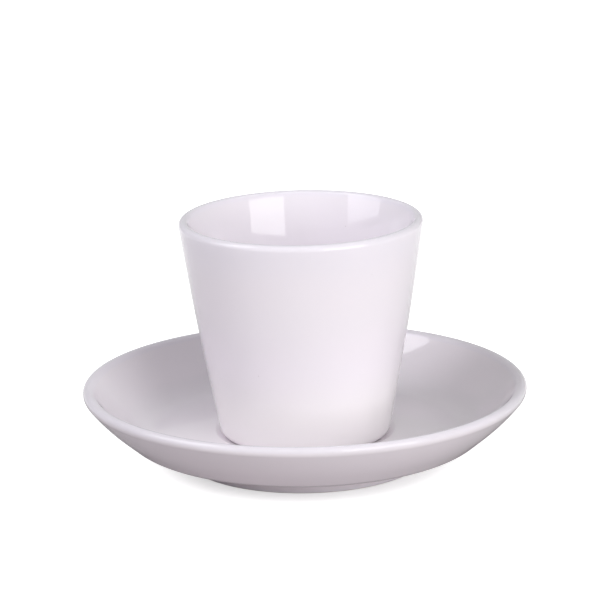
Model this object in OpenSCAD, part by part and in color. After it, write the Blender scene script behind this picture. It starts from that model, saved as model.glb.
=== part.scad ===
// Handleless espresso cup standing in the well of its saucer, both in glazed porcelain.
// Each piece is one turned body: an outline drawn from the axis outwards, with every corner
// rounded by an arc, and spun about the vertical axis. The saucer stands on z = 0, +Z is up.

/* [Cup body] */
// Height of the cup from its foot to its rim
cup_h = 60; // [52:0.5:70]
// Diameter at the rim, before the lip is rounded
cup_rim_d = 66; // [60:0.5:74]
// Diameter at the waist, below which the wall draws in a little more
cup_waist_d = 57; // [52:0.5:60]
// Height of the waist above the foot
cup_waist_h = 31; // [22:0.5:40]
// Diameter at the foot, before its corner is rounded
cup_foot_d = 45.6; // [40:0.1:50]
// Wall thickness at the lip
cup_lip_t = 2.4; // [1.8:0.1:3.2]
// Height of the shoulder inside the cup, from which the wall thins towards the lip
cup_shoulder_h = 53.5; // [48:0.1:55]
// Wall thickness at the shoulder
cup_shoulder_t = 4; // [3.2:0.1:5]
// Wall thickness at the inside floor
cup_base_t = 6.8; // [5:0.1:9]
// Height of the inside floor above the foot
cup_floor_h = 6; // [4.5:0.1:8]

/* [Cup foot] */
// Width of the flat ring that the cup stands on, its rounded corner included
cup_land_w = 5; // [4:0.1:8]
// Depth of the recess inside that ring
cup_recess_depth = 1.2; // [0.6:0.1:2]
// How far the wall of the recess leans in
cup_recess_lean = 0.9; // [0.3:0.1:2]

/* [Cup roundings] */
// Outer side of the drinking lip
cup_lip_outer_r = 1.6; // [0.6:0.1:2]
// Inner side of the drinking lip
cup_lip_inner_r = 1.3; // [0.4:0.1:1.4]
// Gentle bend of the wall at the waist
cup_waist_r = 600; // [100:10:900]
// Corner between the wall and the foot
cup_foot_r = 2.8; // [1:0.1:4]
// Slow bend of the inside at its shoulder
cup_shoulder_r = 57; // [20:1:60]
// Sweep from the inside floor up to the wall
cup_floor_r = 13; // [8:0.5:16]
// Edges of the foot's recess
cup_recess_r = 0.6; // [0.2:0.1:1]

/* [Saucer body] */
// Diameter over the rim
saucer_d = 120; // [112:1:132]
// Height from the table to the rim
saucer_h = 21; // [18:0.1:26]
// Thickness of the saucer under the cup
saucer_base_t = 4.1; // [3:0.1:5.5]
// Diameter of the flat floor, before its sweep up to the wall
saucer_floor_d = 89; // [80:0.5:96]
// Width of the rim's top, before it is rounded
saucer_rim_w = 2.4; // [1.8:0.1:3.2]
// Height of the rim's upright edge, before it is rounded
saucer_rim_h = 2; // [1.6:0.1:3.2]
// How far outside the floor's edge the underside turns up
saucer_turn_out = 2.7; // [1.5:0.1:4]
// How far below the floor the underside turns up
saucer_turn_drop = 1.5; // [1:0.1:2.5]
// Thickness of the wall half way up
saucer_wall_t = 3.1; // [2.4:0.1:4]

/* [Saucer well] */
// Depth of the well that keeps the cup in the middle
well_depth = 1.1; // [0.6:0.1:1.6]
// Free gap around the cup's foot at the top of the well
well_gap = 1.6; // [1:0.05:3]
// Free gap around the flat ring under the cup at the bottom of the well
well_seat_gap = 0.75; // [0.6:0.05:1.2]

/* [Saucer foot] */
// Outer diameter of the foot ring at the table
foot_d = 65.6; // [56:0.2:74]
// Height of the foot ring on its outside
foot_h = 3.4; // [2:0.1:4.5]
// Width of the foot ring at the table
foot_w = 3.2; // [2.4:0.1:5]
// How far the outside of the foot ring leans out at its top
foot_lean = 1; // [0.4:0.1:2]
// Height of the recess inside the foot ring
foot_recess_h = 2.8; // [1.5:0.1:4]

/* [Saucer roundings] */
// Outer top edge of the rim
rim_outer_r = 1.25; // [0.6:0.05:2]
// Turn of the rim into the inside of the wall
rim_inner_r = 2.2; // [1:0.1:4]
// Turn of the rim into the underside
rim_under_r = 1.9; // [1:0.1:4]
// Sweep from the floor up to the wall
floor_sweep_r = 12; // [6:0.5:18]
// Slow bend half way up the outside of the wall
wall_bend_r = 57; // [20:1:90]
// Slow bend half way up the inside of the wall
inner_bend_r = 45; // [20:1:60]
// Turn from the underside up to the wall
turn_r = 6.6; // [3:0.1:12]
// Soft upper edge of the well
well_edge_r = 2; // [0.6:0.1:3]
// Soft lower edge of the well
well_root_r = 1.5; // [0.6:0.1:2]
// Inner corner where the foot ring meets the underside
foot_root_r = 1.2; // [0.4:0.1:2]
// Edges of the foot ring at the table
foot_edge_r = 0.7; // [0.2:0.1:1.2]

/* [Hidden] */
porcelain = [0.95, 0.93, 0.95];
// Segments of a full turn
turn_steps = 180;
// Largest gap between an arc and its chords
arc_gap = 0.008;
// Largest share of a side that the roundings at its two ends take up
side_use_share = 0.98;
// Place of the wall's slow bend, as shares of the way from the turn out and up to the rim
wall_bend_out_share = 0.68;
wall_bend_up_share = 0.59;

// Heights in the saucer
well_z = foot_recess_h + saucer_base_t;
floor_z = well_z + well_depth;
// Radii in the saucer
rim_r = saucer_d / 2;
floor_r = saucer_floor_d / 2;
well_top_r = cup_foot_d / 2 + well_gap;
foot_outer_r = foot_d / 2;
foot_inner_r = foot_outer_r - foot_w;
// Lower edge of the rim, and the turn of the underside below the floor's edge
rim_low = [rim_r, saucer_h - saucer_rim_h];
turn = [floor_r + saucer_turn_out, floor_z - saucer_turn_drop];
wall_bend = [
    turn.x + wall_bend_out_share * (rim_low.x - turn.x),
    turn.y + wall_bend_up_share * (rim_low.y - turn.y)
];
// The same bend on the inside, a wall's thickness away
wall_way = (rim_low - turn) / norm(rim_low - turn);
inner_bend = wall_bend + saucer_wall_t * [-wall_way.y, wall_way.x];

// Radii in the cup, with those of the inside taken from the outside and the wall's thickness there
cup_rim_r = cup_rim_d / 2;
cup_waist_radius = cup_waist_d / 2;
cup_foot_radius = cup_foot_d / 2;
cup_recess_radius = cup_foot_radius - cup_land_w;
cup_lower_draw_share = (cup_waist_radius - cup_foot_radius) / cup_waist_h;
cup_upper_draw_share = (cup_rim_r - cup_waist_radius) / (cup_h - cup_waist_h);
cup_floor_radius = cup_foot_radius + cup_lower_draw_share * cup_floor_h - cup_base_t;
cup_shoulder_radius = cup_rim_r - cup_upper_draw_share * (cup_h - cup_shoulder_h) - cup_shoulder_t;

// Corners of the cup's half section as [radius, height, rounding], foot at height 0
cup_corners = [
    [0, cup_recess_depth, 0],
    [cup_recess_radius - cup_recess_lean, cup_recess_depth, cup_recess_r],
    [cup_recess_radius, 0, cup_recess_r],
    [cup_foot_radius, 0, cup_foot_r],
    [cup_waist_radius, cup_waist_h, cup_waist_r],
    [cup_rim_r, cup_h, cup_lip_outer_r],
    [cup_rim_r - cup_lip_t, cup_h, cup_lip_inner_r],
    [cup_shoulder_radius, cup_shoulder_h, cup_shoulder_r],
    [cup_floor_radius, cup_floor_h, cup_floor_r],
    [0, cup_floor_h, 0]
];
// Place of the foot's corner in that list, counted from 0
cup_foot_place = 3;
// Radius at which the flat ring under the cup turns up, and the bottom of the well around it
cup_seat_r = cup_foot_radius - arc_reach(cup_corners, cup_foot_place);
well_low_r = cup_seat_r + well_seat_gap;

// Corners of the saucer's half section, from under its middle out to the rim and back over the top
saucer_corners = [
    [0, foot_recess_h, 0],
    [foot_inner_r - foot_lean, foot_recess_h, foot_root_r],
    [foot_inner_r, 0, foot_edge_r],
    [foot_outer_r, 0, foot_edge_r],
    [foot_outer_r + foot_lean, foot_h, foot_root_r],
    [turn.x, turn.y, turn_r],
    [wall_bend.x, wall_bend.y, wall_bend_r],
    [rim_low.x, rim_low.y, rim_under_r],
    [rim_r, saucer_h, rim_outer_r],
    [rim_r - saucer_rim_w, saucer_h, rim_inner_r],
    [inner_bend.x, inner_bend.y, inner_bend_r],
    [floor_r, floor_z, floor_sweep_r],
    [well_top_r, floor_z, well_edge_r],
    [well_low_r, well_z, well_root_r],
    [0, well_z, 0]
];

// Radius and height of a corner
function place(corner) = [corner[0], corner[1]];

// Neighbours of corner i, round the closed outline
function before(corners, i) = (i + len(corners) - 1) % len(corners);
function after(corners, i) = (i + 1) % len(corners);

// Unit vector from corner i to corner j
function heading(corners, i, j) =
    let (way = place(corners[j]) - place(corners[i]))
    way / norm(way);

// Half of the angle between the two sides that meet at corner i
function half_angle(corners, i) =
    acos(heading(corners, i, before(corners, i)) * heading(corners, i, after(corners, i))) / 2;

// How far the rounding of corner i would reach along its sides
function full_reach(corners, i) = corners[i][2] / tan(half_angle(corners, i));

// Share of that reach for which the side from i to j has room, next to the rounding at j
function room_share(corners, i, j) =
    let (wanted = full_reach(corners, i) + full_reach(corners, j))
    let (room = side_use_share * norm(place(corners[j]) - place(corners[i])))
    wanted > room ? room / wanted : 1;

// How far the rounding of corner i reaches along its sides
function arc_reach(corners, i) =
    full_reach(corners, i)
    * min(room_share(corners, i, before(corners, i)), room_share(corners, i, after(corners, i)));

// Points of the arc that rounds corner i, tangent to both of its sides
function corner_arc(corners, i) =
    let (
        to_before = heading(corners, i, before(corners, i)),
        to_after = heading(corners, i, after(corners, i)),
        half = half_angle(corners, i),
        reach = arc_reach(corners, i),
        radius = reach * tan(half),
        middle = (to_before + to_after) / norm(to_before + to_after),
        centre = place(corners[i]) + middle * radius / sin(half),
        spoke = place(corners[i]) + to_before * reach - centre,
        sweep = 180 - 2 * half,
        side = sign(cross(to_before, to_after)),
        steps = ceil(sweep / (2 * acos(1 - arc_gap / radius)))
    )
    [
        for (k = [0 : steps])
            let (angle = -side * sweep * k / steps)
            centre + [
                spoke.x * cos(angle) - spoke.y * sin(angle),
                spoke.x * sin(angle) + spoke.y * cos(angle)
            ]
    ];

// Outline with every corner that has a rounding replaced by its arc
function rounded(corners) = [
    for (i = [0 : len(corners) - 1])
        each corners[i][2] > 0 ? corner_arc(corners, i) : [place(corners[i])]
];

// A body turned about the vertical axis from the corners of its half section
module turned(corners) {
    rotate_extrude($fn = turn_steps)
        polygon(rounded(corners));
}

module cup() {
    color(porcelain)
        translate([0, 0, well_z])
            turned(cup_corners);
}

module saucer() {
    color(porcelain)
        turned(saucer_corners);
}

cup();
saucer();
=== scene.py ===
"""Espresso cup in its saucer: two turned pieces of glazed porcelain and the white studio around them.

Laid out as an add-on and run as a script. Each piece is turned from the corners of its half section,
in metres, where the packed solid of the same name is, and rides on that solid's body.
"""

import math
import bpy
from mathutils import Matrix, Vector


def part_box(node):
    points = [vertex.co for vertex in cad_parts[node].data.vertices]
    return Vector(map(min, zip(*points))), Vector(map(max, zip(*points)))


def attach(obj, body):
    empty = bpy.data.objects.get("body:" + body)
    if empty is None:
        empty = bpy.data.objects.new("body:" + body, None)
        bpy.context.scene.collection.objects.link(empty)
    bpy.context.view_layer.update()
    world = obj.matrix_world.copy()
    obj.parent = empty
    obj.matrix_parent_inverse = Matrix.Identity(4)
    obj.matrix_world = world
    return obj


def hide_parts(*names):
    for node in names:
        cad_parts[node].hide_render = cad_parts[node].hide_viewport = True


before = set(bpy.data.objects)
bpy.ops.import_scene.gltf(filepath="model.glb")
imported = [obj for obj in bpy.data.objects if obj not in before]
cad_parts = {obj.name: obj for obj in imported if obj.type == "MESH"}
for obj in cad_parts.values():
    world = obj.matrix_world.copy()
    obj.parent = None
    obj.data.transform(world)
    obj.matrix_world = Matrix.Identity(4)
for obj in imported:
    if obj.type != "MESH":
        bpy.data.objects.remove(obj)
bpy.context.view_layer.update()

from types import SimpleNamespace

import bmesh
import bpy
from mathutils import Matrix, Vector

bl_info = {
    "name": "Espresso Cup with Saucer",
    "version": (1, 0, 0),
    "blender": (4, 5, 0),
    "location": "3D View > Sidebar > Espresso Cup",
    "description": "Turns a glazed porcelain cup and its saucer and sets them in a white studio",
    "category": "Object",
}

MM = 0.001
CUP_LOW, CUP_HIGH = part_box("cup")
SAUCER_LOW, SAUCER_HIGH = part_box("saucer")
# Radius of the ring that a half section is swept along; the section is drawn this far inwards
SWEEP_RADIUS = 0.1
# How far a turned mesh may stray from its solid's box
BOX_SLACK = 0.8 * MM
# Attribute that says where the glaze pools, above zero, and where it runs thin, below zero
POOL = "glaze_pool"
# Pooling from which a hollow shows, and thinning from which an edge shows
HOLLOW_FROM = 0.1
EDGE_FROM = 0.3
# Middle of what a noise texture gives, and the values between which clouds and clay change over
NOISE_MIDDLE = 0.5
CLOUD_FROM, CLOUD_TO = 0.35, 0.65
CLAY_FROM, CLAY_TO = 0.3, 0.7
# Points of a turned mesh that are closer than this become one
MERGE_GAP = 0.001 * MM
# Share of a piece's height over which the waves and the lean of its wall set in
FIRM_SHARE = 0.125
# Sockets of a Mix node for its two colours, and its output for their mixture
MIX_LOW, MIX_HIGH, MIX_RESULT = 6, 7, 2
# Width of the film that the focal length is given for, in millimetres
FILM_WIDTH = 36.0
# Nearest and furthest that the camera sees, in metres
SIGHT_NEAR = 0.01
SIGHT_FAR = 50.0


def length(label, about, millimetres):
    """A size that a maker would change."""
    return bpy.props.FloatProperty(
        name=label, description=about, default=millimetres * MM, min=0.0, precision=5, unit="LENGTH"
    )


def share(label, about, value):
    """A part of a whole, from nothing to all."""
    return bpy.props.FloatProperty(
        name=label, description=about, default=value, min=0.0, max=1.0, precision=4, subtype="FACTOR"
    )


def angle(label, about, degrees):
    """An angle that a maker or photographer would change."""
    return bpy.props.FloatProperty(
        name=label, description=about, default=math.radians(degrees), precision=4, unit="ROTATION"
    )


def number(label, about, value, unit="NONE"):
    """A number that isn't below zero."""
    return bpy.props.FloatProperty(
        name=label, description=about, default=value, min=0.0, precision=4, unit=unit
    )


def steps(label, about, value):
    """A whole number of parts."""
    return bpy.props.IntProperty(name=label, description=about, default=value, min=1)


def colour(label, about, rgb):
    """A colour in linear light."""
    return bpy.props.FloatVectorProperty(
        name=label, description=about, default=rgb, size=3, min=0.0, max=1.0, subtype="COLOR"
    )


class CupSizes(bpy.types.PropertyGroup):
    """Sizes of the cup."""

    height: length("Height", "From the foot to the rim", (CUP_HIGH.z - CUP_LOW.z) / MM)
    stand: length("Stand", "Height of the saucer's well, which the cup stands in", CUP_LOW.z / MM)
    rim_across: length("Rim Across", "Diameter at the rim before the lip is rounded", 66)
    waist_across: length("Waist Across", "Diameter where the wall starts to draw in more", 57)
    waist_height: length("Waist Height", "Height of the waist above the foot", 31)
    foot_across: length("Foot Across", "Diameter at the foot before its corner is rounded", 45.6)
    lip: length("Lip", "Wall thickness at the lip", 2.4)
    shoulder_height: length("Shoulder Height", "Height from which the wall thins towards the lip", 53.5)
    shoulder: length("Shoulder", "Wall thickness at the shoulder", 4)
    base: length("Base", "Wall thickness at the inside floor", 6.8)
    floor_height: length("Floor Height", "Height of the inside floor above the foot", 6)
    land: length("Land", "Width of the ring that the cup stands on", 5)
    recess_depth: length("Recess Depth", "Depth of the recess inside that ring", 1.2)
    recess_lean: length("Recess Lean", "How far the wall of the recess leans in", 0.9)
    lip_outer_round: length("Lip Outer Rounding", "Outer side of the drinking lip", 1.6)
    lip_inner_round: length("Lip Inner Rounding", "Inner side of the drinking lip", 1.3)
    waist_round: length("Waist Rounding", "Gentle bend of the wall at the waist", 600)
    foot_round: length("Foot Rounding", "Corner between the wall and the foot", 2.8)
    shoulder_round: length("Shoulder Rounding", "Slow bend of the inside at its shoulder", 57)
    floor_round: length("Floor Rounding", "Sweep from the inside floor up to the wall", 13)
    recess_round: length("Recess Rounding", "Edges of the foot's recess", 0.6)
    lean: angle("Lean", "How far the fired wall leans to one side above its foot", 0.38)
    waviness: length("Waviness", "Height of the slow waves that throwing leaves in the wall", 0.02)


class SaucerSizes(bpy.types.PropertyGroup):
    """Sizes of the saucer."""

    height: length("Height", "From the table to the rim", (SAUCER_HIGH.z - SAUCER_LOW.z) / MM)
    across: length("Across", "Diameter over the rim", (SAUCER_HIGH.x - SAUCER_LOW.x) / MM)
    stand: length("Stand", "Height of the table under the foot ring", 0)
    base: length("Base", "Thickness under the cup", 4.1)
    floor_across: length("Floor Across", "Diameter of the flat floor before its sweep", 89)
    rim_width: length("Rim Width", "Width of the rim's top before it is rounded", 2.4)
    rim_height: length("Rim Height", "Height of the rim's upright edge", 2)
    turn_out: length("Turn Out", "How far outside the floor the underside turns up", 2.7)
    turn_drop: length("Turn Drop", "How far below the floor the underside turns up", 1.5)
    wall: length("Wall", "Thickness of the wall half way up", 3.1)
    bend_out: share("Bend Out", "Way out from the turn to the rim at which the wall bends", 0.68)
    bend_up: share("Bend Up", "Way up from the turn to the rim at which the wall bends", 0.59)
    well_across: length("Well Across", "Diameter of the well at its top", 48.8)
    well_depth: length("Well Depth", "Depth of the well that keeps the cup in the middle", 1.1)
    well_lean: length("Well Lean", "How far the wall of the well leans out", 3.18)
    foot_across: length("Foot Across", "Outer diameter of the foot ring at the table", 65.6)
    foot_height: length("Foot Height", "Height of the foot ring on its outside", 3.4)
    foot_width: length("Foot Width", "Width of the foot ring at the table", 3.2)
    foot_lean: length("Foot Lean", "How far the foot ring leans out at its top", 1)
    recess_height: length("Recess Height", "Height of the recess inside the foot ring", 2.8)
    rim_outer_round: length("Rim Outer Rounding", "Outer top edge of the rim", 1.25)
    rim_inner_round: length("Rim Inner Rounding", "Turn of the rim into the inside", 2.2)
    rim_under_round: length("Rim Under Rounding", "Turn of the rim into the underside", 1.9)
    sweep_round: length("Sweep Rounding", "Sweep from the floor up to the wall", 12)
    bend_round: length("Bend Rounding", "Slow bend of the outside of the wall", 57)
    inner_bend_round: length("Inner Bend Rounding", "Slow bend of the inside of the wall", 45)
    turn_round: length("Turn Rounding", "Turn from the underside up to the wall", 6.6)
    well_edge_round: length("Well Edge Rounding", "Soft upper edge of the well", 2)
    well_root_round: length("Well Root Rounding", "Soft lower edge of the well", 1.5)
    root_round: length("Root Rounding", "Inner corner of the foot ring", 1.2)
    foot_round: length("Foot Rounding", "Edges of the foot ring at the table", 0.7)
    lean: angle("Lean", "How far the fired wall leans to one side above its foot", 0)
    waviness: length("Waviness", "Height of the slow waves that pressing leaves in the wall", 0.02)


class TurningSizes(bpy.types.PropertyGroup):
    """How finely the half sections are turned."""

    turn_steps: steps("Turn Steps", "Parts of a full turn", 240)
    arc_points: steps("Arc Points", "Points on each rounding", 10)
    point_gap: length("Point Gap", "Largest gap between points along the section", 1.2)
    wave_length: length("Wave Length", "Length of the slow waves in the wall", 26)


class GlazeLooks(bpy.types.PropertyGroup):
    """Colours and finish of the porcelain."""

    cup_glaze: colour("Cup Glaze", "White glaze of the cup", (0.937, 0.89, 0.941))
    saucer_glaze: colour("Saucer Glaze", "White glaze of the saucer", (0.905, 0.856, 0.904))
    pooled: colour("Pooled Glaze", "What a hollow leaves of the glaze's colour", (0.983, 0.994, 0.991))
    # Painted shade and warm bounce light from the saucer: the glaze's colour is made darker and warmer low
    # on a piece
    gathered: colour(
        "Gathered Glaze", "What the run towards a foot leaves of the glaze's colour", (0.965, 0.98, 0.935)
    )
    thin: colour("Thin Glaze", "What an edge leaves of the glaze's colour", (0.975, 0.985, 1.0))
    biscuit: colour("Biscuit", "Bare fired clay on the foot", (0.72, 0.66, 0.62))
    speck: colour("Speck", "Rare grain of ash in the glaze", (0.42, 0.38, 0.37))
    gloss: share("Glaze Roughness", "Roughness of the glazed surface", 0.03)
    gloss_change: share("Gloss Change", "How much the clouds change that roughness", 0.3)
    edge_rough: share("Edge Roughness", "Roughness that thin glaze adds", 0.015)
    speck_rough: share("Speck Roughness", "Roughness that a speck adds", 0.05)
    biscuit_rough: share("Biscuit Roughness", "Roughness of the bare clay", 0.75)
    refraction: number("Refraction", "Index of refraction of the glaze", 1.5)
    bare_height: length("Bare Height", "Height of the bare clay above the foot", 0.22)
    # Heights above each piece's foot up to which that shade is painted
    cup_gather: length("Cup Gather", "Height above the cup's foot to which its glaze has gathered", 26)
    saucer_gather: length(
        "Saucer Gather", "Height above the saucer's foot to which its glaze has gathered", 1
    )
    gather_full: share("Gather Full", "Part of that height over which it has gathered in full", 0.35)
    ragged_size: length("Ragged Size", "Size of the waves in the glaze's lower edge", 3)
    ragged_height: length("Ragged Height", "Height of those waves", 0.16)
    edge_blur: length("Edge Blur", "Height over which the glaze ends", 0.06)
    cloud_size: length("Cloud Size", "Size of the faint clouds in the glaze", 22)
    cloud_depth: share("Cloud Depth", "How far the clouds go towards the pooled glaze", 0.5)
    patch_size: length("Patch Size", "Size of the patches in hollows and on edges", 4.4)
    hollow_change: share("Hollow Change", "How much the patches change the glaze in hollows", 0.6)
    edge_change: share("Edge Change", "How much the patches change the glaze on edges", 0.8)
    speck_gap: length("Speck Gap", "Distance between places where a speck may lie", 3)
    speck_share: share("Speck Share", "Part of those places that have a speck", 0.05)
    speck_size: length("Speck Size", "Radius of a speck", 0.16)
    speck_core: share("Speck Core", "Part of that radius that is dark in full", 0.4)
    speck_depth: share("Speck Depth", "How far a speck goes towards its own colour", 0.6)
    speck_dent: length("Speck Dent", "Depth of the dent over a speck", 0.01)
    ripple_size: length("Ripple Size", "Size of the shallow ripples in the glaze", 5)
    ripple_height: length("Ripple Height", "Height of those ripples", 0.0016)
    grain_size: length("Grain Size", "Size of the grain in the bare clay", 0.35)
    grain_height: length("Grain Height", "Height of that grain", 0.03)
    clay_change: share("Clay Change", "How far the bare clay goes towards the thin glaze", 0.35)


class StudioLooks(bpy.types.PropertyGroup):
    """Camera, lamps and floor."""

    camera_back: length("Camera Back", "How far in front of the cup the camera stands", 852.1)
    camera_height: length("Camera Height", "Height of the camera above the table", 273.6)
    camera_pitch: angle("Camera Pitch", "How far the camera looks down", 15.0845)
    camera_roll: angle("Camera Roll", "How far the camera is rolled", -0.919)
    camera_yaw: angle("Camera Yaw", "How far the camera is turned", 0.0615)
    focal_length: number("Focal Length", "Focal length of the lens in millimetres", 196.8, unit="CAMERA")
    floor_reach: length("Floor Reach", "How far the floor reaches to each side", 6000)
    floor: colour("Floor", "White floor as it is seen", (0.5, 0.5, 0.5))
    floor_bounce: colour("Floor Bounce", "Light that the floor throws back", (0.55, 0.51, 0.52))
    # The floor glows less near the middle, seen out to Far and mirrored out to Mirror Far: a painted
    # shadow on top of the real one
    near_glow: number("Near Glow", "Glow of the seen floor under the saucer", 0.5)
    far_glow: number("Far Glow", "Glow of the seen floor away from the saucer", 1.0)
    near: length("Near", "Distance from which the seen floor glows more", 30)
    far: length("Far", "Distance at which the seen floor is all white", 46)
    mirror_near: length("Mirror Near", "Distance from which the mirrored floor glows", 30)
    mirror_far: length("Mirror Far", "Distance at which the mirrored floor is all white", 280)
    dome: number("Dome", "Strength of the room's light", 0.26)
    backdrop_side: share("Backdrop Side", "Turn to the back at which the backdrop is there in full", 0.5)
    backdrop_fade: number("Backdrop Fade", "Steepness of view at which the backdrop fades", 0.35)
    backdrop_top: number("Backdrop Top", "Steepness of view at which the backdrop has ended", 0.75)
    backdrop_glow: share("Backdrop Glow", "How near to white the glaze mirrors the backdrop", 0.45)
    bounces: steps("Bounces", "How often light is thrown on between white surfaces", 12)


def softbox_looks(
    title, about, *, bearing, shift, away, low, high, wide, power, low_glow, high_glow, glow_change, tint
):
    """A property group with the sizes and the light of one softbox."""
    looks = {
        "bearing": angle("Bearing", "Way round the cup from the camera, to the right", bearing),
        "shift": length("Shift", "How far the box is moved along its own face", shift),
        "away": length("Away", "Distance from the cup", away),
        "low": length("Low", "Height of its lower edge", low),
        "high": length("High", "Height of its upper edge", high),
        "wide": length("Wide", "Width of its face", wide),
        "power": number("Power", "Power of its lamp", power, unit="POWER"),
        "low_glow": number("Low Glow", "Brightness of its lower edge", low_glow),
        "high_glow": number("High Glow", "Brightness of its upper edge", high_glow),
        "glow_change": share("Glow Change", "Part of its height over which that changes", glow_change),
        "tint": colour("Tint", "Colour of its cloth", tint),
    }
    return type(title, (bpy.types.PropertyGroup,), {"__doc__": about, "__annotations__": looks})


KeySoftbox = softbox_looks(
    "KeySoftbox",
    "Low softbox on the right.",
    bearing=24,
    shift=270,
    away=900,
    low=20,
    high=620,
    wide=715,
    power=5.4,
    low_glow=1.36,
    high_glow=0.85,
    glow_change=0.6,
    tint=(1, 1, 0.99),
)
SideSoftbox = softbox_looks(
    "SideSoftbox",
    "Tall softbox on the left.",
    bearing=-75,
    shift=0,
    away=800,
    low=268,
    high=1500,
    wide=580,
    power=8.5,
    low_glow=0.6,
    high_glow=1,
    glow_change=0.6,
    tint=(0.955, 0.95, 1),
)
FillSoftbox = softbox_looks(
    "FillSoftbox",
    "High softbox in front.",
    bearing=18,
    shift=0,
    away=900,
    low=650,
    high=1400,
    wide=1050,
    power=5.8,
    low_glow=1,
    high_glow=1,
    glow_change=0.6,
    tint=(1, 1, 1),
)


class Wire:
    """A socket whose arithmetic adds Math nodes to its own tree."""

    def __init__(self, bench, socket):
        self.bench = bench
        self.socket = socket

    def math(self, operation, *values):
        """The result of a Math node on these values."""
        return self.bench.add("ShaderNodeMath", {"operation": operation}, dict(enumerate(values)))

    def __add__(self, other):
        return self.math("ADD", self, other)

    def __radd__(self, other):
        return self.math("ADD", other, self)

    def __sub__(self, other):
        return self.math("SUBTRACT", self, other)

    def __rsub__(self, other):
        return self.math("SUBTRACT", other, self)

    def __mul__(self, other):
        return self.math("MULTIPLY", self, other)

    def __rmul__(self, other):
        return self.math("MULTIPLY", other, self)

    def __truediv__(self, other):
        return self.math("DIVIDE", self, other)

    def __rtruediv__(self, other):
        return self.math("DIVIDE", other, self)

    def __pow__(self, other):
        return self.math("POWER", self, other)

    def other(self, name):
        """Another output of the same node."""
        return Wire(self.bench, self.socket.node.outputs[name])

    def floor(self):
        """The whole number below the value."""
        return self.math("FLOOR", self)

    def above(self, limit):
        """One where the value is over the limit, else nothing."""
        return self.math("GREATER_THAN", self, limit)

    def most(self, other):
        """The larger of two values."""
        return self.math("MAXIMUM", self, other)

    def ramp(self, low, high):
        """Nothing up to low, one from high, and a soft slope between."""
        return self.bench.add(
            "ShaderNodeMapRange",
            {"interpolation_type": "SMOOTHSTEP"},
            {"Value": self, "From Min": low, "From Max": high},
        )


class Bench:
    """Adds nodes to one tree."""

    def __init__(self, tree):
        self.tree = tree

    def add(self, kind, settings=None, sockets=None, output=0):
        """One node: its settings, then its sockets' values or links; gives an output if it has one."""
        node = self.tree.nodes.new(kind)
        for name, value in (settings or {}).items():
            if name == "cases":
                while len(node.index_switch_items) < value:
                    node.index_switch_items.new()
            else:
                setattr(node, name, value)
        for name, value in (sockets or {}).items():
            if isinstance(value, Wire):
                self.tree.links.new(value.socket, node.inputs[name])
            else:
                node.inputs[name].default_value = value
        return Wire(self, node.outputs[output]) if node.outputs else None

    def pick(self, data_type, index, values):
        """The value whose number in the list is index."""
        sockets = {"Index": index}
        sockets.update({str(i): value for i, value in enumerate(values)})
        settings = {"data_type": data_type, "cases": len(values)}
        return self.add("GeometryNodeIndexSwitch", settings, sockets)

    def vector(self, x=0.0, y=0.0, z=0.0):
        """A vector from its parts."""
        return self.add("ShaderNodeCombineXYZ", sockets={"X": x, "Y": y, "Z": z})

    def along(self, operation, *vectors, output=0):
        """The result of a Vector Math node."""
        sockets = dict(enumerate(vectors))
        return self.add("ShaderNodeVectorMath", {"operation": operation}, sockets, output)

    def tint(self, factor, low, high):
        """A colour between two."""
        sockets = {"Factor": factor, MIX_LOW: low, MIX_HIGH: high}
        return self.add("ShaderNodeMix", {"data_type": "RGBA"}, sockets, MIX_RESULT)


def opaque(rgb):
    """A colour with full alpha."""
    return (*rgb, 1.0)


def cup_corners(sizes):
    """Corners of the cup's half section as radius, height, rounding and pooling of the glaze."""
    rim = sizes.rim_across / 2
    waist = sizes.waist_across / 2
    foot = sizes.foot_across / 2
    lower_draw = (waist - foot) / sizes.waist_height
    upper_draw = (rim - waist) / (sizes.height - sizes.waist_height)
    floor = foot + lower_draw * sizes.floor_height - sizes.base
    shoulder = rim - upper_draw * (sizes.height - sizes.shoulder_height) - sizes.shoulder
    recess = foot - sizes.land
    return [
        (0.0, sizes.recess_depth, 0.0, 0.0),
        (recess - sizes.recess_lean, sizes.recess_depth, sizes.recess_round, 1.0),
        (recess, 0.0, sizes.recess_round, -1.0),
        (foot, 0.0, sizes.foot_round, -0.3),
        (waist, sizes.waist_height, sizes.waist_round, 0.0),
        (rim, sizes.height, sizes.lip_outer_round, -1.0),
        (rim - sizes.lip, sizes.height, sizes.lip_inner_round, -1.0),
        (shoulder, sizes.shoulder_height, sizes.shoulder_round, 0.0),
        (floor, sizes.floor_height, sizes.floor_round, 1.0),
        (0.0, sizes.floor_height, 0.0, 0.4),
    ]


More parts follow.
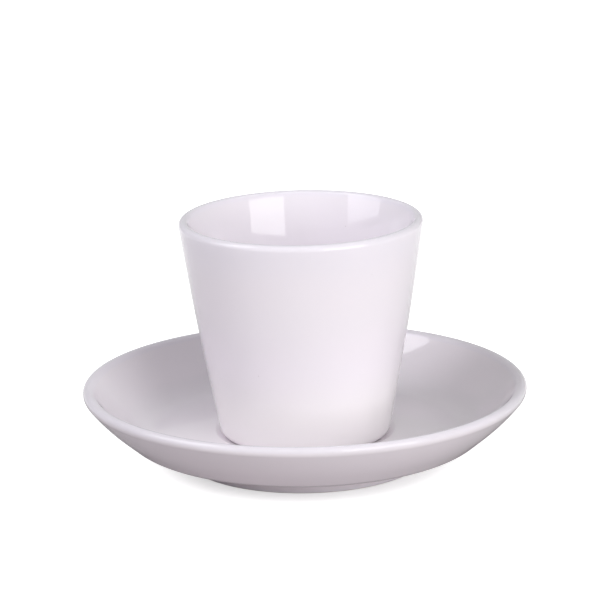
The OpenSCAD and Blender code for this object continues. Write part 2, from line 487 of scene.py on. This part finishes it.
def saucer_corners(sizes):
    """Corners of the saucer's half section, from under its middle to the rim and back over the top."""
    rim = sizes.across / 2
    floor = sizes.floor_across / 2
    well = sizes.well_across / 2
    foot = sizes.foot_across / 2
    foot_inside = foot - sizes.foot_width
    well_height = sizes.recess_height + sizes.base
    floor_height = well_height + sizes.well_depth
    rim_low = sizes.height - sizes.rim_height
    turn = floor + sizes.turn_out
    turn_height = floor_height - sizes.turn_drop
    out = rim - turn
    up = rim_low - turn_height
    way = (out * out + up * up) ** 0.5
    bend = turn + out * sizes.bend_out
    bend_height = turn_height + up * sizes.bend_up
    inner_bend = bend - sizes.wall * up / way
    inner_bend_height = bend_height + sizes.wall * out / way
    return [
        (0.0, sizes.recess_height, 0.0, 0.0),
        (foot_inside - sizes.foot_lean, sizes.recess_height, sizes.root_round, 1.0),
        (foot_inside, 0.0, sizes.foot_round, -1.0),
        (foot, 0.0, sizes.foot_round, -1.0),
        (foot + sizes.foot_lean, sizes.foot_height, sizes.root_round, 1.0),
        (turn, turn_height, sizes.turn_round, 0.0),
        (bend, bend_height, sizes.bend_round, 0.0),
        (rim, rim_low, sizes.rim_under_round, 0.0),
        (rim, sizes.height, sizes.rim_outer_round, -1.0),
        (rim - sizes.rim_width, sizes.height, sizes.rim_inner_round, -1.0),
        (inner_bend, inner_bend_height, sizes.inner_bend_round, 0.0),
        (floor, floor_height, sizes.sweep_round, 0.8),
        (well, floor_height, sizes.well_edge_round, -0.3),
        (well - sizes.well_lean, well_height, sizes.well_root_round, 1.0),
        (0.0, well_height, 0.0, 0.2),
    ]


def named_values(group):
    """Names, labels and values of a property group, in the order they are written."""
    known = group.bl_rna.properties
    return [(key, known[key].name, getattr(group, key)) for key in group.__annotations__]


def turned_tree(title, groups, corners_of):
    """A tree that rounds the corners of a half section and turns it about the upright axis."""
    tree = bpy.data.node_groups.new(title, "GeometryNodeTree")
    tree.interface.new_socket("Body", in_out="OUTPUT", socket_type="NodeSocketGeometry")
    for group in groups:
        for _, label, value in named_values(group):
            kind = "NodeSocketInt" if isinstance(value, int) else "NodeSocketFloat"
            tree.interface.new_socket(label, in_out="INPUT", socket_type=kind).default_value = value
    tree.interface.new_socket("Glaze", in_out="INPUT", socket_type="NodeSocketMaterial")
    bench = Bench(tree)
    given = bench.add("NodeGroupInput")
    sizes = SimpleNamespace(
        **{key: given.other(label) for group in groups for key, label, _ in named_values(group)}
    )
    corners = corners_of(sizes)
    radii, heights, roundings, pools = zip(*corners)

    # Half section: one point for each corner, then an arc in its place
    line = bench.add("GeometryNodeCurvePrimitiveLine")
    section = bench.add(
        "GeometryNodeResampleCurve", {"mode": "COUNT"}, {"Curve": line, "Count": len(corners)}
    )
    index = bench.add("GeometryNodeInputIndex")
    places = [bench.vector(radius - SWEEP_RADIUS, 0 - height) for radius, height in zip(radii, heights)]
    section = bench.add(
        "GeometryNodeSetPosition",
        sockets={"Geometry": section, "Position": bench.pick("VECTOR", index, places)},
    )
    section = bench.add(
        "GeometryNodeStoreNamedAttribute",
        {"data_type": "FLOAT", "domain": "POINT"},
        {"Geometry": section, "Name": POOL, "Value": bench.pick("FLOAT", index, pools)},
    )
    section = bench.add(
        "GeometryNodeFilletCurve",
        {"mode": "POLY"},
        {
            "Curve": section,
            "Count": sizes.arc_points,
            "Radius": bench.pick("FLOAT", index, roundings),
            "Limit Radius": True,
        },
    )

    # Points along the straight sides, no further apart than the largest gap
    place = bench.add("GeometryNodeInputPosition")
    following = bench.add(
        "GeometryNodeFieldAtIndex",
        {"data_type": "FLOAT_VECTOR", "domain": "POINT"},
        {"Value": place, "Index": bench.add("GeometryNodeInputIndex") + 1},
    )
    gap = bench.along("DISTANCE", place, following, output="Value")
    section = bench.add(
        "GeometryNodeSubdivideCurve", sockets={"Curve": section, "Cuts": (gap / sizes.point_gap).floor()}
    )

    # Turning: the sweep takes the section's y as down, so the faces are then turned to the outside,
    # and the points that meet on the axis become one
    ring = bench.add(
        "GeometryNodeCurvePrimitiveCircle",
        {"mode": "RADIUS"},
        {"Resolution": sizes.turn_steps, "Radius": SWEEP_RADIUS},
    )
    body = bench.add("GeometryNodeCurveToMesh", sockets={"Curve": ring, "Profile Curve": section})
    body = bench.add("GeometryNodeFlipFaces", sockets={"Mesh": body})
    body = bench.add(
        "GeometryNodeMergeByDistance", {"mode": "ALL"}, {"Geometry": body, "Distance": MERGE_GAP}
    )

    # What firing leaves above the flat foot: slow waves in the wall and a slight lean
    place = bench.add("GeometryNodeInputPosition")
    side = bench.add("ShaderNodeSeparateXYZ", sockets={"Vector": place}, output="X")
    level = side.other("Z")
    above_foot = level.ramp(0.0, sizes.height * FIRM_SHARE)
    wave = bench.add(
        "ShaderNodeTexNoise",
        {"noise_dimensions": "3D"},
        {"Vector": place, "Scale": 1 / sizes.wave_length, "Detail": 1.0},
    )
    normal = bench.add("GeometryNodeInputNormal")
    swell = bench.add(
        "ShaderNodeVectorMath",
        {"operation": "SCALE"},
        {0: normal, "Scale": (wave - NOISE_MIDDLE) / NOISE_MIDDLE * sizes.waviness * above_foot},
    )
    slip = bench.vector(x=(0 - level) * sizes.lean, z=side * sizes.lean * above_foot)
    body = bench.add(
        "GeometryNodeSetPosition",
        sockets={"Geometry": body, "Offset": bench.along("ADD", swell, slip)},
    )
    body = bench.add(
        "GeometryNodeTransform", sockets={"Geometry": body, "Translation": bench.vector(z=sizes.stand)}
    )
    body = bench.add("GeometryNodeSetShadeSmooth", sockets={"Geometry": body})
    body = bench.add("GeometryNodeRealizeInstances", sockets={"Geometry": body})
    body = bench.add(
        "GeometryNodeSetMaterial", sockets={"Geometry": body, "Material": given.other("Glaze")}
    )
    bench.add("NodeGroupOutput", sockets={"Body": body})
    return tree


def turned_mesh(title, groups, corners_of, material):
    """Runs the tree on an empty object and gives its result as a plain object at the origin."""
    tree = turned_tree(title + "_turning", groups, corners_of)
    blank = bpy.data.objects.new(title + "_blank", bpy.data.meshes.new(title + "_blank"))
    bpy.context.scene.collection.objects.link(blank)
    modifier = blank.modifiers.new("Turning", "NODES")
    modifier.node_group = tree
    values = {label: value for group in groups for _, label, value in named_values(group)}
    values["Glaze"] = material
    for item in tree.interface.items_tree:
        if item.in_out == "INPUT":
            modifier[item.identifier] = values[item.name]
    graph = bpy.context.evaluated_depsgraph_get()
    mesh = bpy.data.meshes.new_from_object(blank.evaluated_get(graph), depsgraph=graph)
    mesh.name = title
    blank_mesh = blank.data
    bpy.data.objects.remove(blank)
    bpy.data.meshes.remove(blank_mesh)
    piece = bpy.data.objects.new(title, mesh)
    bpy.context.scene.collection.objects.link(piece)
    return piece


def check_body(piece, low, high):
    """Raises unless the mesh is closed, faces outwards and fills its solid's box."""
    shell = bmesh.new()
    shell.from_mesh(piece.data)
    open_edges = sum(not edge.is_manifold for edge in shell.edges)
    volume = shell.calc_volume(signed=True)
    corners = [[pick(v.co[axis] for v in shell.verts) for axis in range(3)] for pick in (min, max)]
    shell.free()
    if open_edges or volume <= 0:
        raise RuntimeError(f"{piece.name} has {open_edges} open edges and a volume of {volume}")
    stray = max((Vector(found) - wanted).length for found, wanted in zip(corners, (low, high)))
    if stray > BOX_SLACK:
        raise RuntimeError(f"{piece.name} strays {stray / MM:.2f} mm from its solid's box")


def toned(rgb, tone):
    """A colour times a tone, with full alpha."""
    return opaque(part * share_left for part, share_left in zip(rgb, tone))


def around_one(pattern, change):
    """A factor that follows a noise pattern around one."""
    return 1 - change * NOISE_MIDDLE + change * pattern


def porcelain(title, looks, glaze, foot_level, gather):
    """Glazed porcelain whose foot is bare below a ragged glaze line."""
    material = bpy.data.materials.new(title)
    material.use_nodes = True
    material.node_tree.nodes.clear()
    bench = Bench(material.node_tree)
    place = bench.add("ShaderNodeTexCoord", output="Object")
    level = bench.add("ShaderNodeSeparateXYZ", sockets={"Vector": place}, output="Z")

    def noise(size, detail=2.0):
        """A noise pattern with clumps of this size."""
        sockets = {"Vector": place, "Scale": 1 / size, "Detail": detail}
        return bench.add("ShaderNodeTexNoise", {"noise_dimensions": "3D"}, sockets)

    # Glaze: faint clouds, painted shade and warm bounce light that make it darker and warmer towards the
    # foot, deeper in hollows, drawn back from edges
    pool = bench.add("ShaderNodeAttribute", {"attribute_name": POOL}, output="Fac")
    clouds = noise(looks.cloud_size, detail=3.0)
    patches = noise(looks.patch_size)
    hollow = pool.ramp(HOLLOW_FROM, 1.0) * around_one(patches, looks.hollow_change)
    edge = (0 - pool).ramp(EDGE_FROM, 1.0) * around_one(patches, looks.edge_change)
    pooled = toned(glaze, looks.pooled)
    thin = toned(glaze, looks.thin)
    base = bench.tint(clouds.ramp(CLOUD_FROM, CLOUD_TO) * looks.cloud_depth, opaque(glaze), pooled)
    # Painted shade and warm bounce light: run is full up to a share of the height above the foot and fades
    # out at that height
    run = 1 - level.ramp(foot_level + looks.gather_full * gather, foot_level + gather)
    base = bench.tint(run, base, toned(glaze, looks.gathered))
    base = bench.tint(hollow, base, pooled)
    base = bench.tint(edge, base, thin)

    # Rare specks of ash under the glaze
    settings = {"voronoi_dimensions": "3D", "feature": "F1"}
    cells = {"Vector": place, "Scale": 1 / looks.speck_gap}
    distance = bench.add("ShaderNodeTexVoronoi", settings, cells, output="Distance")
    cell_colour = {"Color": distance.other("Color")}
    luck = bench.add("ShaderNodeSeparateColor", sockets=cell_colour, output="Red")
    reach = looks.speck_size / looks.speck_gap
    speck = (1 - distance.ramp(reach * looks.speck_core, reach)) * luck.above(1 - looks.speck_share)
    base = bench.tint(speck * looks.speck_depth, base, opaque(looks.speck))

    # Bare clay on the foot
    ragged = (noise(looks.ragged_size) - NOISE_MIDDLE) * looks.ragged_height
    glaze_line = foot_level + looks.bare_height
    bare = 1 - (level + ragged).ramp(glaze_line, glaze_line + looks.edge_blur)
    clay = noise(looks.grain_size, detail=4.0)
    mottle = clay.ramp(CLAY_FROM, CLAY_TO) * looks.clay_change
    clay_colour = bench.tint(mottle, opaque(looks.biscuit), thin)
    base = bench.tint(bare, base, clay_colour)

    # Gloss and relief
    rough = looks.gloss * around_one(clouds, looks.gloss_change)
    rough = rough + edge * looks.edge_rough + speck * looks.speck_rough
    rough = rough + bare * (looks.biscuit_rough - looks.gloss)
    ripple = noise(looks.ripple_size, detail=1.0) * looks.ripple_height
    pits = clay * bare * looks.grain_height
    height = ripple + pits - speck * looks.speck_dent
    relief = bench.add("ShaderNodeBump", sockets={"Height": height, "Strength": 1.0, "Distance": 1.0})
    shader = bench.add(
        "ShaderNodeBsdfPrincipled",
        sockets={
            "Base Color": base,
            "Roughness": rough,
            "Normal": relief,
            "IOR": looks.refraction,
        },
    )
    bench.add("ShaderNodeOutputMaterial", sockets={"Surface": shader})
    return material


def place_piece(context, title, node, sizes, corners_of, low, high):
    """Makes one piece in the place of its solid and lets it ride on that solid's body."""
    looks = context.scene.glaze_looks
    glaze = getattr(looks, node + "_glaze")
    # Height up to which shade is painted low on this piece
    gather = getattr(looks, node + "_gather")
    material = porcelain(node + "_porcelain", looks, glaze, low.z, gather)
    piece = turned_mesh(title, [sizes, context.scene.turning_sizes], corners_of, material)
    check_body(piece, low, high)
    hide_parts(node)
    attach(piece, node)


class MakeCup(bpy.types.Operator):
    """Turn the cup and glaze it."""

    bl_idname = "espresso.make_cup"
    bl_label = "Make Cup"

    def execute(self, context):
        sizes = context.scene.cup_sizes
        place_piece(context, "cup_body", "cup", sizes, cup_corners, CUP_LOW, CUP_HIGH)
        return {"FINISHED"}


class MakeSaucer(bpy.types.Operator):
    """Turn the saucer and glaze it."""

    bl_idname = "espresso.make_saucer"
    bl_label = "Make Saucer"

    def execute(self, context):
        sizes = context.scene.saucer_sizes
        place_piece(context, "saucer_body", "saucer", sizes, saucer_corners, SAUCER_LOW, SAUCER_HIGH)
        return {"FINISHED"}


def showing_rays(bench):
    """Rays that show a surface to the camera, in a gloss or through glass: one for those, else nothing."""
    camera = bench.add("ShaderNodeLightPath", output="Is Camera Ray")
    return camera, camera.other("Is Glossy Ray"), camera.other("Is Transmission Ray")


def floor_material(studio):
    """White floor that glows a little where it is seen, so that it is white and keeps its shadow."""
    material = bpy.data.materials.new("white_floor")
    material.use_nodes = True
    material.node_tree.nodes.clear()
    bench = Bench(material.node_tree)
    seen = bench.add("ShaderNodeBsdfDiffuse", sockets={"Color": opaque(studio.floor)})
    bounce = bench.add("ShaderNodeBsdfDiffuse", sockets={"Color": opaque(studio.floor_bounce)})
    place = bench.add("ShaderNodeTexCoord", output="Object")
    camera, glossy, through = showing_rays(bench)
    distance = bench.along("LENGTH", place, output="Value")
    # Painted shadow: the glow falls off towards the middle, for the seen floor out to far and for the
    # mirrored floor out to mirror far
    rise = studio.far_glow - studio.near_glow
    plain = studio.near_glow + rise * distance.ramp(studio.near, studio.far)
    mirrored = studio.far_glow * distance.ramp(studio.mirror_near, studio.mirror_far)
    grey = plain + (mirrored - plain) * glossy
    glow = bench.add("ShaderNodeEmission", sockets={"Color": grey, "Strength": 1.0})
    lifted = bench.add("ShaderNodeAddShader", sockets={0: seen, 1: glow})
    showing = camera.most(glossy).most(through)
    shader = bench.add("ShaderNodeMixShader", sockets={"Fac": showing, 1: bounce, 2: lifted})
    bench.add("ShaderNodeOutputMaterial", sockets={"Surface": shader})
    return material


def softbox(title, looks):
    """An upright softbox that faces the cup, with a glow that changes from its lower edge upwards."""
    lamp = bpy.data.lights.new(title, "AREA")
    lamp.shape = "RECTANGLE"
    lamp.size = looks.wide
    lamp.size_y = looks.high - looks.low
    lamp.energy = looks.power
    lamp.use_nodes = True
    lamp.node_tree.nodes.clear()
    bench = Bench(lamp.node_tree)
    spread = bench.add("ShaderNodeNewGeometry", output="Parametric")
    up = bench.add("ShaderNodeSeparateXYZ", sockets={"Vector": spread}, output="Y")
    strength = looks.low_glow + (looks.high_glow - looks.low_glow) * up.ramp(0.0, looks.glow_change)
    glow = bench.add("ShaderNodeEmission", sockets={"Color": opaque(looks.tint), "Strength": strength})
    bench.add("ShaderNodeOutputLight", sockets={"Surface": glow})
    box = bpy.data.objects.new(title, lamp)
    bpy.context.scene.collection.objects.link(box)
    ahead = Vector((math.sin(looks.bearing), -math.cos(looks.bearing), 0.0))
    along = Vector((math.cos(looks.bearing), math.sin(looks.bearing), 0.0))
    middle = Vector((0.0, 0.0, (looks.low + looks.high) / 2))
    box.location = ahead * looks.away + along * looks.shift + middle
    box.rotation_euler = (-ahead).to_track_quat("-Z", "Y").to_euler()


def room(studio):
    """A dim room, white where it is looked at, and partly so where the glaze mirrors the backdrop."""
    world = bpy.data.worlds.new("white_room")
    world.use_nodes = True
    world.node_tree.nodes.clear()
    bench = Bench(world.node_tree)
    way = bench.add("ShaderNodeTexCoord", output="Generated")
    back = bench.add("ShaderNodeSeparateXYZ", sockets={"Vector": way}, output="Y")
    behind = back.ramp(0.0, studio.backdrop_side)
    low = 1 - back.other("Z").ramp(studio.backdrop_fade, studio.backdrop_top)
    camera, glossy, through = showing_rays(bench)
    white = camera.most(through).most(glossy * behind * low * studio.backdrop_glow)
    strength = studio.dome + (1 - studio.dome) * white
    surface = bench.add("ShaderNodeBackground", sockets={"Strength": strength, "Color": opaque((1, 1, 1))})
    bench.add("ShaderNodeOutputWorld", sockets={"Surface": surface})
    return world


class MakeStudio(bpy.types.Operator):
    """Lay the floor, hang the lamps and set up the camera."""

    bl_idname = "espresso.make_studio"
    bl_label = "Make Studio"

    def execute(self, context):
        scene = context.scene
        studio = scene.studio_looks

        sheet = bpy.data.meshes.new("floor_sheet")
        half = studio.floor_reach
        ring = [(-half, -half, 0.0), (half, -half, 0.0), (half, half, 0.0), (-half, half, 0.0)]
        sheet.from_pydata(ring, [], [(0, 1, 2, 3)])
        sheet.materials.append(floor_material(studio))
        floor = bpy.data.objects.new("floor_sheet", sheet)
        scene.collection.objects.link(floor)

        for title in ("key_softbox", "side_softbox", "fill_softbox"):
            softbox(title, getattr(scene, title))
        # The fill is a broad, even light, too soft for the glaze to mirror
        bpy.data.objects["fill_softbox"].visible_glossy = False

        scene.world = room(studio)
        scene.view_settings.view_transform = "Standard"
        scene.cycles.diffuse_bounces = studio.bounces

        lens = bpy.data.cameras.new("studio_camera")
        lens.sensor_width = FILM_WIDTH
        lens.lens = studio.focal_length
        lens.clip_start = SIGHT_NEAR
        lens.clip_end = SIGHT_FAR
        camera = bpy.data.objects.new("studio_camera", lens)
        scene.collection.objects.link(camera)
        turn = (
            Matrix.Rotation(studio.camera_yaw, 4, "Z")
            @ Matrix.Rotation(math.pi / 2 - studio.camera_pitch, 4, "X")
            @ Matrix.Rotation(studio.camera_roll, 4, "Z")
        )
        camera.matrix_world = (
            Matrix.Translation((0.0, -studio.camera_back, studio.camera_height)) @ turn
        )
        scene.camera = camera
        return {"FINISHED"}


class CupPanel(bpy.types.Panel):
    """Lists the pieces and their sizes."""

    bl_idname = "VIEW3D_PT_espresso_cup"
    bl_label = "Espresso Cup"
    bl_space_type = "VIEW_3D"
    bl_region_type = "UI"
    bl_category = "Espresso Cup"

    def draw(self, context):
        layout = self.layout
        for operator in OPERATORS:
            layout.operator(operator.bl_idname)
        for name in GROUPS:
            group = getattr(context.scene, name)
            layout.label(text=group.bl_rna.description)
            for key in group.__annotations__:
                layout.prop(group, key)


GROUPS = {
    "cup_sizes": CupSizes,
    "saucer_sizes": SaucerSizes,
    "turning_sizes": TurningSizes,
    "glaze_looks": GlazeLooks,
    "studio_looks": StudioLooks,
    "key_softbox": KeySoftbox,
    "side_softbox": SideSoftbox,
    "fill_softbox": FillSoftbox,
}
OPERATORS = (MakeCup, MakeSaucer, MakeStudio)


def register():
    """Makes the sizes, the operators and the panel known to Blender."""
    for group in GROUPS.values():
        bpy.utils.register_class(group)
    for name, group in GROUPS.items():
        setattr(bpy.types.Scene, name, bpy.props.PointerProperty(type=group))
    for item in (*OPERATORS, CupPanel):
        bpy.utils.register_class(item)


def unregister():
    """Takes them out again."""
    for item in reversed((*OPERATORS, CupPanel)):
        bpy.utils.unregister_class(item)
    for name, group in reversed(GROUPS.items()):
        delattr(bpy.types.Scene, name)
        bpy.utils.unregister_class(group)


def main():
    """Makes both pieces and the studio, and writes down the two boxes."""
    register()
    bpy.ops.espresso.make_cup()
    bpy.ops.espresso.make_saucer()
    bpy.ops.espresso.make_studio()


if __name__ == "__main__":
    main()
